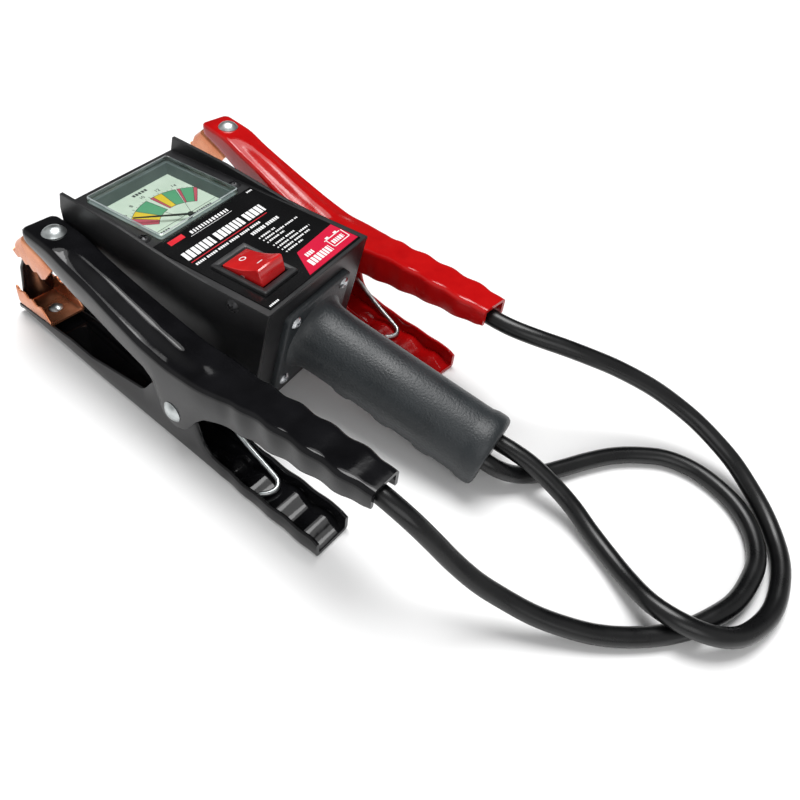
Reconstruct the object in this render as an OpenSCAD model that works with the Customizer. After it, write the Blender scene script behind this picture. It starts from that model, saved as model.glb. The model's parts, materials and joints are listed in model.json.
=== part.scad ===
/* [Housing] */
// Width of the housing over its side walls
body_w = 77; // [75:0.5:84]
// Length of the face, from the front wall to the rear edge
body_l = 131; // [128:1:136]
// Height of the face above the table
body_h = 75; // [72:0.5:80]
// Thickness of the housing sheet
sheet = 1.8; // [1.4:0.1:2.2]
// Height of the two front ears above the face
ear_h = 8.4; // [5:0.2:10]
// Lean of the rear wall and fall of the handle, in degrees
rear_lean = 10; // [6:0.5:12]

/* [Meter] */
// Width of the clear meter cover
meter_w = 55.6; // [52:0.2:58]
// Length of the clear meter cover
meter_l = 51.8; // [48:0.2:54]
// How far the clear cover stands above the face
meter_rise = 3; // [2:0.5:5]
// Depth of the dial below the face
dial_drop = 5; // [4:0.5:7]
// Length of the needle from its axis to its tip
needle_l = 28; // [24:1:29]

/* [Switch] */
// Width of the switch bezel
bezel_w = 23.2; // [22:0.2:25]
// Length of the switch bezel
bezel_l = 32.6; // [31:0.2:34]
// Height of the bezel above the label
bezel_h = 2; // [1:0.2:2.6]

/* [Handle] */
// Radius of the round handle
grip_r = 17.6; // [16.5:0.1:18]
// Length of the handle along its own axis
grip_l = 108; // [98:1:110]
// How far each finger ridge stands below the handle
ridge_h = 1.7; // [1:0.1:2]

/* [Cables] */
// Diameter of each cable
cable_d = 8.4; // [7.6:0.2:8.4]

/* [Clamps] */
// Thickness of the coated clamp sheet
arm_t = 1.8; // [1.5:0.1:2]
// Height of the clamp's pivot above the table
pivot_z = 25.5; // [24:0.5:27]
// Radius of the pivot rivet's shank
pivot_r = 4; // [3.5:0.1:4.5]
// Thickness of the copper jaws
jaw_t = 1.2; // [1:0.1:1.5]
// Diameter of the spring wire
wire_d = 2.6; // [2:0.1:3]

/* [Hidden] */
$fn = 48;
EPS = 0.01;
FIT = 0.05;
GAP = 0.3;

// Housing
half_w = body_w / 2;
front_y = body_l / 2;
rear_y = -body_l / 2;
rear_shift = tan(rear_lean);
inner_half = half_w - sheet;
label_half = 34.8;
label_front = 7;
label_rear = rear_y + 2;
label_t = 0.5;
badge_t = 0.25;
screw_r = 3.6;
screw_spots = [[-45, 70], [40, 12]];

// Meter
meter_y = 34;
case_half = meter_w / 2 - 0.8;
case_l = meter_l - 1.6;
case_t = 1.5;
case_floor = body_h - 30;
dial_z = body_h - dial_drop;
dial_t = 0.8;
needle_y = meter_y - case_l / 2 + 7;
needle_z = dial_z + 2;
needle_rest = 48;
needle_tail = 2.6;
hub_r = 1.4;
needle_shaft_r = 0.8;

// Switch
switch_x = -17.9;
switch_y = -40.4;
body_half_x = bezel_w / 2 - 1.4;
body_half_y = bezel_l / 2 - 1.6;
rocker_half = 8.3;
rocker_hole_x = 8.7;
rocker_hole_y = 12.6;
rocker_z = body_h + 1;
rocker_pin_r = 1.5;

// Handle: the axis starts on the rear wall and falls towards the table
grip_z = 37.4;
grip_wall = 4;
flange_w = 50;
flange_h = 54;
flange_t = 3.2;
end_flare = 0.9;
ridge_w = 9;
ridges = [33, 57, 80];
exits = [[-5, -1.6], [6.6, 1.6]];
flange_bolt_x = 19;
flange_bolt_z = 21;

// Clamp outlines: side profiles as [along, height], plans as [along, half width]
arm_rear = -112;
arm_front = 112;
lip_z = 64.4;
beak_half = 8.8;
jaw_half = 10.2;
low_rear = -89;
low_front = 137;
head_r = 5.5;
lobe_r = 9;
floor_rise = 3;
top_rivet_s = 97;
seat_z = 69.4;
floor_rivet_s = 116;
tray_rear = 104.5;
tray_front = 134.7;
tray_z = 8.95;
tray_fall = 2.4;
rivet_seat = 9.62;
top_rivet_r = 6;
floor_rivet_r = 3.9;
coil_r = 7.5;
coil_turns = 4;
coil_half = 6.6;
crimp_s = -86;
crimp_z = 57;
rib_r = 8;

black_at = [-61.3, -38.4];
black_turn = 6.8;
red_at = [65.7, -27.4];
red_turn = 12;

// Cable routes, from the handle to the clamp
BLACK_ROUTE = [
    [-5, -156.5, 18.5], [-5, -164.5, 17.1], [-2, -171.5, 13], [4.5, -179, 8.2], [14.5, -187.5, 4.9],
    [25.5, -195.5, 4.3], [36.5, -203.5, 4.3], [47, -212.5, 4.3], [55.5, -223, 4.3], [62, -235, 4.3],
    [63.5, -248.5, 4.3], [60, -262, 4.3], [53, -273.5, 4.3], [42.5, -282, 4.3], [29.5, -286.5, 4.3],
    [16, -286, 4.3], [2.5, -283, 4.3], [-9.5, -277, 4.3], [-21, -269.5, 4.3], [-31, -260, 4.3],
    [-39.5, -249.5, 4.6], [-47, -238, 6], [-53, -226, 8.8], [-58, -214, 12.6], [-62, -202, 18],
    [-66, -191, 25], [-69, -180.5, 33.5], [-71.5, -171.5, 42.5], [-74, -161.5, 51.5], [-74.6, -149, 56.8],
    [-73, -136, 57.2], [-71.2, -121.8, 57]
];
RED_ROUTE = [
    [6.6, -157, 21.6], [6.6, -165, 20.2], [6.6, -173, 19.4], [6.5, -183, 17.4], [5, -195.5, 13.6],
    [2, -207.5, 9.8], [-3.5, -219, 7], [-10, -230.5, 6.4], [-17, -241, 8], [-24, -252, 11.4],
    [-26.5, -264.5, 13.4], [-23, -277, 11.4], [-15, -287, 8], [-4, -293.5, 5.6], [8.5, -297.5, 4.4],
    [21.5, -298, 4.3], [34.5, -296, 4.3], [46.5, -291, 4.4], [57, -283, 6.4], [65, -273.5, 9.4],
    [71.5, -263, 13.2], [75, -251, 18], [76, -239.5, 23.2], [74.5, -227.5, 29], [71, -216.5, 35],
    [66, -206, 40.7], [60.5, -195, 45.9], [54.5, -184.5, 50.4], [49, -173, 54], [44.5, -161, 56.2],
    [42, -148, 57.2], [42.5, -136.9, 57.4], [45.3, -123.2, 57.2], [48.2, -109.6, 57]
];
TUBE_SIDES = 10;

// ---- shared shapes ----

// Box given by its low and high corners
module block(low, high) {
    translate(low) cube([high[0] - low[0], high[1] - low[1], high[2] - low[2]]);
}

// A [y, z] outline extruded across x, centred on x = 0
module side_plate(outline, width) {
    rotate([90, 0, 90]) linear_extrude(width, center = true) polygon(outline);
}

// Cylinder along x, centred on x = 0
module x_rod(radius, length) {
    rotate([0, 90, 0]) cylinder(r = radius, h = length, center = true);
}

// Shallow dome of a screw or rivet head, standing on z = 0
module dome(radius, height) {
    ball = (radius * radius + height * height) / (2 * height);
    rotate_extrude() intersection() {
        translate([0, height - ball]) circle(r = ball, $fn = 96);
        square([radius, height]);
    }
}

// Pan-head screw with a cross recess, its head on z = 0 and its shank below
module pan_screw(radius, height, shank_r, shank_l) {
    difference() {
        union() {
            dome(radius, height);
            translate([0, 0, -shank_l]) cylinder(r = shank_r, h = shank_l + EPS);
        }
        for (turn = [0, 90])
            rotate([0, 0, turn]) translate([0, 0, height])
                cube([radius * 1.1, 0.9, height * 1.2], center = true);
    }
}

function unit(v) = v / norm(v);
function tangent(p, i) = unit(p[min(i + 1, len(p) - 1)] - p[max(i - 1, 0)]);
function carried(a, t) = unit(a - (a * t) * t);
function side_vector(t) = unit(cross(t, abs(t[0]) > 0.9 ? [0, 0, 1] : [1, 0, 0]));
function side_vectors(p) =
    [for (i = 0, a = side_vector(tangent(p, 0)); i < len(p);
          i = i + 1, a = i < len(p) ? carried(a, tangent(p, i)) : a) a];
function ring(centre, a, b, r, sides) =
    [for (k = [0:sides - 1]) centre + r * (cos(360 * k / sides) * a + sin(360 * k / sides) * b)];

// Round tube swept along a list of points
module tube(path, radius, sides) {
    n = len(path);
    across = side_vectors(path);
    rings = [for (i = [0:n - 1])
        each ring(path[i], across[i], cross(tangent(path, i), across[i]), radius, sides)];
    walls = [for (i = [0:n - 2], k = [0:sides - 1])
        [i * sides + k, i * sides + (k + 1) % sides, (i + 1) * sides + (k + 1) % sides, (i + 1) * sides + k]];
    first = [for (k = [0:sides - 1]) sides - 1 - k];
    last = [for (k = [0:sides - 1]) (n - 1) * sides + k];
    polyhedron(points = rings, faces = concat([first], walls, [last]), convexity = 10);
}

// ---- housing ----

// Side wall outline, with the ear that rises at the front and fades along the face
SIDE_OUTLINE = [
    [rear_y + body_h * rear_shift, 0], [front_y, 0], [front_y, body_h],
    [front_y - 2, body_h + ear_h], [front_y - 15, body_h + ear_h * 0.92],
    [front_y - 40, body_h + ear_h * 0.72], [front_y - 60, body_h + ear_h * 0.4],
    [front_y - 82, body_h + ear_h * 0.08], [front_y - 95, body_h], [rear_y, body_h]
];

// Places children in the frame of the rear wall: z points out of the wall, y points up it
module on_rear_wall() {
    translate([0, rear_y + (body_h - grip_z) * rear_shift, grip_z])
        rotate([90 + rear_lean, 0, 0]) children();
}

module front_cover() color([0.12, 0.12, 0.13]) difference() {
    union() {
        for (side = [-1, 1])
            translate([side * (half_w - sheet / 2), 0, 0]) side_plate(SIDE_OUTLINE, sheet);
        block([-half_w + EPS, rear_y, body_h - sheet], [half_w - EPS, front_y, body_h]);
    }
    block([-case_half - FIT, meter_y - case_l / 2 - FIT, body_h - 5],
          [case_half + FIT, meter_y + case_l / 2 + FIT, body_h + 5]);
    block([switch_x - body_half_x - FIT, switch_y - body_half_y - FIT, body_h - 5],
          [switch_x + body_half_x + FIT, switch_y + body_half_y + FIT, body_h + 5]);
    for (side = [-1, 1]) {
        translate([side * 32, 15.3, body_h - 5]) cylinder(r = 1.5 + FIT, h = 10);
        for (spot = screw_spots)
            translate([side * half_w, spot[0], spot[1]]) x_rod(1.5 + FIT, 10);
    }
}

// Floor, front wall and leaning rear wall in one folded sheet, between the side walls
module back_cover() color([0.1, 0.1, 0.11]) difference() {
    side_plate([
        [rear_y + body_h * rear_shift, 0], [front_y, 0], [front_y, body_h - sheet - FIT],
        [front_y - sheet, body_h - sheet - FIT], [front_y - sheet, sheet],
        [rear_y + (body_h - sheet) * rear_shift + sheet, sheet],
        [rear_y + (sheet + FIT) * rear_shift + sheet, body_h - sheet - FIT],
        [rear_y + (sheet + FIT) * rear_shift, body_h - sheet - FIT]
    ], 2 * (inner_half - FIT));
    on_rear_wall() {
        translate([0, 0, -4]) cylinder(r = grip_r - grip_wall, h = 8);
        for (x = [-1, 1], y = [-1, 1])
            translate([x * flange_bolt_x, y * flange_bolt_z, -4]) cylinder(r = 1.5 + FIT, h = 8);
    }
    for (i = [-4:4])
        block([i * 7 - 1.5, 20, -1], [i * 7 + 1.5, 52, sheet + 1]);
    for (i = [-3:3])
        block([i * 7 - 1.5, front_y - sheet - 1, 14], [i * 7 + 1.5, front_y + 1, 34]);
}

module face_screws() color([0.25, 0.25, 0.26]) for (side = [-1, 1])
    translate([side * 32, 15.3, body_h]) rotate([0, 0, 20 + side * 25]) pan_screw(screw_r, 1.8, 1.5, 8);

module side_screws() color([0.25, 0.25, 0.26]) for (side = [-1, 1], spot = screw_spots)
    translate([side * half_w, spot[0], spot[1]]) rotate([0, side * 90, 0])
        rotate([0, 0, spot[0]]) pan_screw(screw_r, 1.8, 1.5, sheet);

module face_label() color([0.04, 0.04, 0.04]) difference() {
    block([-label_half, label_rear, body_h], [label_half, label_front, body_h + label_t]);
    block([switch_x - body_half_x - 2 * FIT, switch_y - body_half_y - 2 * FIT, body_h - 1],
          [switch_x + body_half_x + 2 * FIT, switch_y + body_half_y + 2 * FIT, body_h + 2]);
}

module label_badge() color([0.75, 0.06, 0.14]) translate([0, 0, body_h + label_t]) linear_extrude(badge_t)
    polygon([
        [-5, label_rear + 1], [label_half - 0.6, label_rear + 1],
        [label_half - 0.6, label_rear + 17.5], [4.6, label_rear + 16]
    ]);

// ---- meter ----

module meter_case() color([0.42, 0.46, 0.46]) difference() {
    block([-case_half, meter_y - case_l / 2, case_floor], [case_half, meter_y + case_l / 2, body_h]);
    block([-case_half + case_t, meter_y - case_l / 2 + case_t, case_floor + case_t],
          [case_half - case_t, meter_y + case_l / 2 - case_t, body_h + 1]);
    for (side = [-1, 1])
        translate([side * 16, meter_y, case_floor - 1]) cylinder(r = 2 + FIT, h = 5);
}

module meter_dial() color([0.85, 0.88, 0.82]) difference() {
    block([-case_half + case_t, meter_y - case_l / 2 + case_t, dial_z - dial_t],
          [case_half - case_t, meter_y + case_l / 2 - case_t, dial_z]);
    translate([0, needle_y, dial_z - 2]) cylinder(r = needle_shaft_r + GAP, h = 4);
}

module meter_needle() color([0.75, 0.1, 0.08]) translate([0, needle_y, needle_z]) rotate([0, 0, needle_rest]) {
    cylinder(r = hub_r, h = 1.4);
    translate([0, 0, -14]) cylinder(r = needle_shaft_r, h = 14 + EPS);
    translate([0, 0, 0.5]) linear_extrude(0.5)
        polygon([
            [-0.7, -needle_tail], [0.7, -needle_tail], [0.7, 0], [0.25, needle_l], [-0.25, needle_l], [-0.7, 0]
        ]);
}

// Sloping frame between the clear cover and the dial
module meter_mask() color([0.45, 0.49, 0.49]) difference() {
    low_half = 22.6;
    low_l = 41.8;
    top_half = case_half - case_t - GAP;
    top_l = case_l - 2 * (case_t + GAP);
    block([-case_half + case_t + FIT, meter_y - case_l / 2 + case_t + FIT, dial_z + FIT],
          [case_half - case_t - FIT, meter_y + case_l / 2 - case_t - FIT, body_h - FIT]);
    intersection() {
        translate([0, meter_y, 0]) side_plate([
            [-low_l / 2, dial_z], [low_l / 2, dial_z], [top_l / 2, body_h], [top_l / 2, body_h + 5],
            [-top_l / 2, body_h + 5], [-top_l / 2, body_h]], 80);
        translate([0, meter_y, 0]) rotate([0, 0, 90]) side_plate([
            [-low_half, dial_z], [low_half, dial_z], [top_half, body_h], [top_half, body_h + 5],
            [-top_half, body_h + 5], [-top_half, body_h]], 80);
    }
}

// Round magnet with the bearing post of the needle
module meter_movement() color([0.55, 0.55, 0.57]) translate([0, needle_y, 0]) difference() {
    union() {
        translate([0, 0, case_floor + case_t]) cylinder(r = 5, h = 5);
        translate([0, 0, case_floor + case_t + 5]) cylinder(r = 5, h = 12);
        translate([-12, 3, case_floor + case_t]) cube([24, 18, 11]);
    }
    translate([0, 0, needle_z - 14 - 1]) cylinder(r = needle_shaft_r + FIT, h = 20);
}

module meter_studs() color([0.78, 0.6, 0.25]) for (side = [-1, 1]) translate([side * 16, meter_y, 0]) {
    translate([0, 0, case_floor - 9]) cylinder(r = 2, h = 9 + case_t + 2 * EPS);
    translate([0, 0, case_floor + case_t + EPS]) cylinder(r = 3.5, h = 1.5);
    translate([0, 0, case_floor - 3]) cylinder(r = 4, h = 3, $fn = 6);
}

// Clear cover: a shallow tray upside down, its rim standing on the face
module meter_window() color([0.8, 0.85, 0.86, 0.35]) difference() {
    block([-meter_w / 2, meter_y - meter_l / 2, body_h],
          [meter_w / 2, meter_y + meter_l / 2, body_h + meter_rise]);
    block([-meter_w / 2 + 1.6, meter_y - meter_l / 2 + 1.6, body_h - 1],
          [meter_w / 2 - 1.6, meter_y + meter_l / 2 - 1.6, body_h + meter_rise - 1]);
}

// ---- switch ----

module switch_body() color([0.16, 0.16, 0.17]) difference() {
    union() {
        block([switch_x - bezel_w / 2, switch_y - bezel_l / 2, body_h + label_t],
              [switch_x + bezel_w / 2, switch_y + bezel_l / 2, body_h + label_t + bezel_h]);
        block([switch_x - body_half_x, switch_y - body_half_y, body_h - 22],
              [switch_x + body_half_x, switch_y + body_half_y, body_h + label_t + EPS]);
    }
    block([switch_x - rocker_hole_x, switch_y - rocker_hole_y, body_h - 12],
          [switch_x + rocker_hole_x, switch_y + rocker_hole_y, body_h + 10]);
    for (y = [-8, 0, 8])
        translate([switch_x, switch_y + y, body_h - 17]) cube([6.4, 0.8, 12], center = true);
}

// Wedge-shaped key: the far end is down at rest and the ridge end is up
module switch_rocker() color([0.8, 0.05, 0.06]) difference() {
    translate([switch_x, switch_y, rocker_z]) side_plate([
        [10, -5], [12.2, 1.2], [-8, 8.6], [-9.4, 8.2], [-11.8, 0.5], [-9, -5]
    ], 2 * rocker_half);
    translate([switch_x, switch_y, rocker_z]) x_rod(rocker_pin_r + FIT, 30);
}

module switch_pin() color([0.7, 0.7, 0.72]) translate([switch_x, switch_y, rocker_z])
    x_rod(rocker_pin_r, 2 * rocker_hole_x);

module switch_terminals() color([0.8, 0.68, 0.3]) for (y = [-8, 0, 8])
    translate([switch_x, switch_y + y, body_h - 23]) cube([6.3, 0.7, 21], center = true);

// ---- inside the housing ----

// Flat resistance ribbon folded to and fro over the floor
module load_element() color([0.45, 0.4, 0.36]) {
    runs = 7;
    pitch = 9;
    ribbon = 0.9;
    start = -8;
    for (i = [0:runs - 1])
        block([-26, start + i * pitch, 14], [26, start + i * pitch + ribbon, 22]);
    for (i = [0:runs - 2]) {
        x = i % 2 == 0 ? 26 - EPS : -26 - ribbon + EPS;
        block([x, start + i * pitch, 14], [x + ribbon, start + (i + 1) * pitch + ribbon, 22]);
    }
}

// Grooved ceramic blocks that carry the ribbon
module ceramic_posts() color([0.9, 0.88, 0.82]) for (x = [-14, 14]) difference() {
    block([x - 4, -14, sheet], [x + 4, 54, 18]);
    for (i = [0:6])
        block([x - 5, -8 + i * 9 - FIT, 14 - FIT], [x + 5, -8 + i * 9 + 0.9 + FIT, 24]);
}

// Copper straps from the switch and the handle's wiring to the ribbon
module bus_bars() color([0.8, 0.48, 0.3]) {
    block([switch_x - 3, switch_y + 8.4, body_h - 33.5], [switch_x + 3, switch_y + 9.6, body_h - 22.3]);
    block([switch_x - 3, switch_y + 9.6 - EPS, body_h - 33.5], [switch_x + 3, -8.1, body_h - 32.3]);
    block([switch_x - 3, -9.3, 20], [switch_x + 3, -8.1, body_h - 33.5 + EPS]);
    block([20, -14, 20], [26, -9, 21.2]);
    block([20, -9 - EPS, 14], [26, -8.1, 21.2]);
}

// ---- handle ----

// Frame along the handle: z runs from the rear wall to the handle's end
module grip_frame() {
    on_rear_wall() children();
}

module handle_grip() color([0.2, 0.22, 0.23]) grip_frame() difference() {
    union() {
        block([-flange_w / 2, -flange_h / 2, 0], [flange_w / 2, flange_h / 2, flange_t]);
        cylinder(r = grip_r, h = grip_l);
        cylinder(r1 = grip_r + 4, r2 = grip_r, h = 11);
        translate([0, 0, grip_l - 9]) cylinder(r = grip_r + end_flare, h = 6);
        translate([0, 0, grip_l - 3 - EPS]) cylinder(r1 = grip_r + end_flare, r2 = grip_r - 2, h = 3);
        for (at = ridges)
            translate([0, -ridge_h, at - ridge_w / 2]) cylinder(r = grip_r, h = ridge_w);
    }
    translate([0, 0, -1]) cylinder(r = grip_r - grip_wall, h = grip_l + 2);
    for (x = [-1, 1], y = [-1, 1])
        translate([x * flange_bolt_x, y * flange_bolt_z, -1]) cylinder(r = 1.5 + FIT, h = 8);
}

module flange_screws() color([0.75, 0.76, 0.78]) grip_frame() for (x = [-1, 1], y = [-1, 1])
    translate([x * flange_bolt_x, y * flange_bolt_z, flange_t]) rotate([0, 0, 30 * x + 15 * y])
        pan_screw(3.3, 1.8, 1.5, 8);

// Rubber disc in the handle's end with one hole for each cable
module cable_bush() color([0.08, 0.08, 0.08]) grip_frame() difference() {
    translate([0, 0, grip_l - 8]) cylinder(r = grip_r - grip_wall, h = 8);
    for (exit = exits)
        translate([exit[0], exit[1], grip_l - 9]) cylinder(r = cable_d / 2 + GAP, h = 10);
}

// The stretch of each cable inside the handle, up to the housing
module inner_leads() color([0.06, 0.06, 0.06]) grip_frame() for (exit = exits)
    translate([exit[0], exit[1], -14]) cylinder(r = cable_d / 2, h = grip_l + 14 - 9.2);

module black_cable() color([0.05, 0.05, 0.05]) tube(BLACK_ROUTE, cable_d / 2, TUBE_SIDES);
module red_cable() color([0.05, 0.05, 0.05]) tube(RED_ROUTE, cable_d / 2, TUBE_SIDES);

// ---- clamps, in a frame with the pivot over the origin, y forward, x across ----

RIB = [[-8, 55.8], [20, 57.2], [54, 63.4], [78, 67.6]];
ARM_TOP = [
    [arm_rear, 66], [-96, 65], [-78, 63.6], [-60, 62], [-43, 59.6], [-23, 55.8], [0, 53.2],
    [20, 55], [41, 59], [54, 61.8], [75, 65.8], [87, seat_z], [108, seat_z], [arm_front, seat_z - 1]
];
ARM_BOTTOM = [
    [arm_front, lip_z], [95, 60.2], [84, 56.4], [71, 51.6], [42, 46], [18, 42.5], [11, 38], [lobe_r, pivot_z],
    [6.4, pivot_z - 6.4], [0, pivot_z - lobe_r], [-6.4, pivot_z - 6.4], [-14, 29], [-22, 37.5],
    [-31, 41.5], [-45, 43.6], [-63, 47.6], [-80, 51.2], [arm_rear + 4, 56], [arm_rear, 57.6]
];
ARM_SIDE = concat(ARM_TOP, ARM_BOTTOM);
BEAK = [
    [111, 68], [111, 63.9], [112.4, 58.4], [118, 50], [121.5, 44], [125.6, 37.5], [133.2, 9.4],
    [131.4, 9], [123.9, 36.9], [119.9, 43], [116.4, 49.1], [110.7, 57.8], [109.2, 63.9], [109.2, 68]
];
ARM_HALVES = [
    [arm_rear, 9.2], [-42, 9.4], [-18, 12.2], [20, 12.2], [58, 10.4], [arm_front + 1, 9.9]
];
LOW_SIDE = [
    [low_rear, 0], [60, 0], [low_front - 2, floor_rise], [low_front, floor_rise + 2], [low_front, 5.9],
    [104, 8.6], [86, 10.6], [68, 10.2], [52, 13.6], [25, 19], [17, 30], [9, 35], [-7, 35], [-13, 27],
    [-17, 14], [-23, 9.5], [-45, 8], [-67, 9.2], [low_rear + 3, 9.8], [low_rear, 8]
];
LOW_HALVES = [
    [low_rear, 10.3], [-50, 10.3], [-22, 10], [24, 10], [60, 10], [low_front + 1, 9.9]
];

// Plan outline from half widths, moved in by inset
function plan(halves, inset) = concat(
    [for (p = halves) [p[1] - inset, p[0]]],
    [for (i = [len(halves) - 1:-1:0]) [-(halves[i][1] - inset), halves[i][0]]]
);
function raised(outline, by) = [for (p = outline) [p[0], p[1] + by]];

module on_clamp(at, turn) {
    translate([at[0], at[1], 0]) rotate([0, 0, -turn]) children();
}

// Solid with a side profile and a plan outline
module shaped(side, plan_outline) {
    intersection() {
        side_plate(side, 40);
        linear_extrude(100) polygon(plan_outline);
    }
}

// Channel open downwards, with side lobes round the pivot and a tongue that leans over the lower jaw
module upper_arm() {
    difference() {
        union() {
            shaped(ARM_SIDE, plan(ARM_HALVES, 0));
            intersection() {
                rib(rib_r);
                translate([0, 0, 46]) linear_extrude(40) polygon(plan(ARM_HALVES, 0.5));
            }
        }
        shaped(concat(
            [for (i = [0:len(ARM_TOP) - 2]) ARM_TOP[i] - [0, arm_t]],
            [[arm_front - arm_t, seat_z - arm_t - 1], [arm_front - arm_t, -20]],
            [[arm_rear - 5, -20], [arm_rear - 5, 66 - arm_t]]
        ), plan(concat([[arm_rear - 6, 9.2]], [for (i = [1:5]) ARM_HALVES[i]]), arm_t));
        rib(rib_r - arm_t);
        translate([0, 0, pivot_z]) x_rod(pivot_r + FIT, 40);
        translate([0, top_rivet_s, 50]) cylinder(r = 3 + FIT, h = 40);
    }
    side_plate(BEAK, 2 * beak_half);
}

// Pressed stiffening rib: round bars sunk along the arm's back
module rib(radius) for (i = [0:len(RIB) - 2]) {
    run = RIB[i + 1] - RIB[i];
    translate([0, RIB[i][0], RIB[i][1] - rib_r]) {
        rotate([atan2(run[1], run[0]) - 90, 0, 0]) cylinder(r = radius, h = norm(run));
        sphere(r = radius);
        translate([0, run[0], run[1]]) sphere(r = radius);
    }
}

// Channel open upwards, standing on the table, with ears for the pivot
module lower_arm() difference() {
    shaped(LOW_SIDE, plan(LOW_HALVES, 0));
    shaped([
        [low_rear - 5, arm_t], [60, arm_t], [low_front - arm_t - 2, arm_t + floor_rise],
        [low_front - arm_t, arm_t + floor_rise + 2], [low_front - arm_t, 60], [low_rear - 5, 60]
    ], plan(concat([[low_rear - 6, 10.3]], [for (i = [1:5]) LOW_HALVES[i]]), arm_t));
    translate([0, 0, pivot_z]) x_rod(pivot_r + FIT, 40);
    translate([0, floor_rivet_s, -1]) cylinder(r = 2.5 + FIT, h = 12);
}

// Copper cap under the arm's edge, wrapped round the front of the tongue, with wavy side walls
module upper_jaw() {
    wave = [for (i = [0:8]) [124.5 - 3.39 * i, 48.6 - 0.525 * i + (i % 2 == 0 ? 0.8 : -1)]];
    difference() {
        side_plate(concat([[87.2, 56.9], [95, 59.7], [112.3, 63.9], [120.9, 56.6]], wave), 2 * jaw_half);
        side_plate([
            [80, 30], [80, 53.2], [87.2, 55.7], [95, 58.45],
            [111.6, 62.6], [119.9, 55.7], [123.3, 48.2], [126, 30]
        ], 2 * (jaw_half - jaw_t));
        translate([-beak_half - FIT, 108.9, 56]) cube([2 * (beak_half + FIT), 2.5, 10]);
        translate([0, top_rivet_s, 50]) cylinder(r = 3 + FIT, h = 40);
    }
}

// Copper tray on the lower arm's edges, with toothed walls and a low lip at the front
module lower_jaw() {
    front_z = tray_z - tray_fall;
    teeth = [for (i = [0:8]) [tray_front - 3.1 * i, 19.4 - 0.45 * i + (i % 2 == 0 ? 0 : -1.5)]];
    difference() {
        side_plate(
            concat([[tray_rear, tray_z], [tray_front, front_z]], teeth, [[tray_rear, tray_z + jaw_t]]),
            2 * jaw_half
        );
        side_plate([
            [tray_rear - 5, tray_z + jaw_t + 0.4], [tray_front - jaw_t, front_z + jaw_t + 0.1],
            [tray_front - jaw_t, 11], [tray_front + 5, 11], [tray_front + 5, 40], [tray_rear - 5, 40]
        ], 2 * (jaw_half - jaw_t));
        translate([0, floor_rivet_s, -1]) cylinder(r = 2.5 + FIT, h = 20);
    }
}

module pivot_rivet() translate([0, 0, pivot_z]) {
    x_rod(pivot_r, 2 * 12.2 + 0.4);
    for (side = [-1, 1])
        translate([side * (12.2 + 0.15), 0, 0]) rotate([0, side * 90, 0]) dome(head_r, 2.2);
}

module jaw_rivet() translate([0, top_rivet_s, 0]) {
    tail_z = 57.2;
    translate([0, 0, seat_z + EPS]) dome(top_rivet_r, 3.2);
    translate([0, 0, tail_z - 1.4]) cylinder(r = 3, h = seat_z - tail_z + 1.4 + 2 * EPS);
    translate([0, 0, tail_z - 1.4]) cylinder(r = 4.6, h = 1.4);
}

module floor_rivet() translate([0, floor_rivet_s, 0]) {
    translate([0, 0, rivet_seat]) dome(floor_rivet_r, 1.4);
    translate([0, 0, 2.6]) cylinder(r = 2.5, h = rivet_seat - 2.6 + EPS);
}

// Torsion spring: one leg down to the floor of the lower arm, a coil round the rivet, one leg up
function spring_path(n) = concat(
    [[-6, -50, 3.7], [-2, -52.6, 3.6], [2, -53, 3.6], [4.6, -51, 3.9], [5.4, -47.6, 4.9]],
    [[coil_half, -14, pivot_z - coil_r - 1]],
    [for (i = [0:n]) [
        coil_half - 2 * coil_half * i / n,
        coil_r * sin(-180 - 360 * (coil_turns + 0.5) * i / n),
        pivot_z + coil_r * cos(-180 - 360 * (coil_turns + 0.5) * i / n)
    ]],
    [[-coil_half, -14, pivot_z + coil_r + 1.5], [-3, -50, 51.4]]
);

module spring() tube(spring_path(coil_turns * 14), wire_d / 2, 8);

// Steel band that holds the cable under the back of the upper arm
module cable_crimp() translate([0, crimp_s, crimp_z]) rotate([90, 0, 0]) difference() {
    translate([0, 0, -5]) cylinder(r = cable_d / 2 + 0.7, h = 10);
    translate([0, 0, -6]) cylinder(r = cable_d / 2 + GAP, h = 12);
}

BLACK_PVC = [0.05, 0.05, 0.06];
RED_PVC = [0.78, 0.05, 0.05];
COPPER = [0.8, 0.45, 0.28];
ZINC = [0.75, 0.76, 0.78];

module black_upper_arm() color(BLACK_PVC) on_clamp(black_at, black_turn) upper_arm();
module black_lower_arm() color(BLACK_PVC) on_clamp(black_at, black_turn) lower_arm();
module black_upper_jaw() color(COPPER) on_clamp(black_at, black_turn) upper_jaw();
module black_lower_jaw() color(COPPER) on_clamp(black_at, black_turn) lower_jaw();
module black_pivot_rivet() color(ZINC) on_clamp(black_at, black_turn) pivot_rivet();
module black_spring() color(ZINC) on_clamp(black_at, black_turn) spring();
module black_jaw_rivet() color(ZINC) on_clamp(black_at, black_turn) jaw_rivet();
module black_floor_rivet() color(ZINC) on_clamp(black_at, black_turn) floor_rivet();
module black_cable_crimp() color(ZINC) on_clamp(black_at, black_turn) cable_crimp();
module red_upper_arm() color(RED_PVC) on_clamp(red_at, red_turn) upper_arm();
module red_lower_arm() color(RED_PVC) on_clamp(red_at, red_turn) lower_arm();
module red_upper_jaw() color(COPPER) on_clamp(red_at, red_turn) upper_jaw();
module red_lower_jaw() color(COPPER) on_clamp(red_at, red_turn) lower_jaw();
module red_pivot_rivet() color(ZINC) on_clamp(red_at, red_turn) pivot_rivet();
module red_spring() color(ZINC) on_clamp(red_at, red_turn) spring();
module red_jaw_rivet() color(ZINC) on_clamp(red_at, red_turn) jaw_rivet();
module red_floor_rivet() color(ZINC) on_clamp(red_at, red_turn) floor_rivet();
module red_cable_crimp() color(ZINC) on_clamp(red_at, red_turn) cable_crimp();

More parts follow.
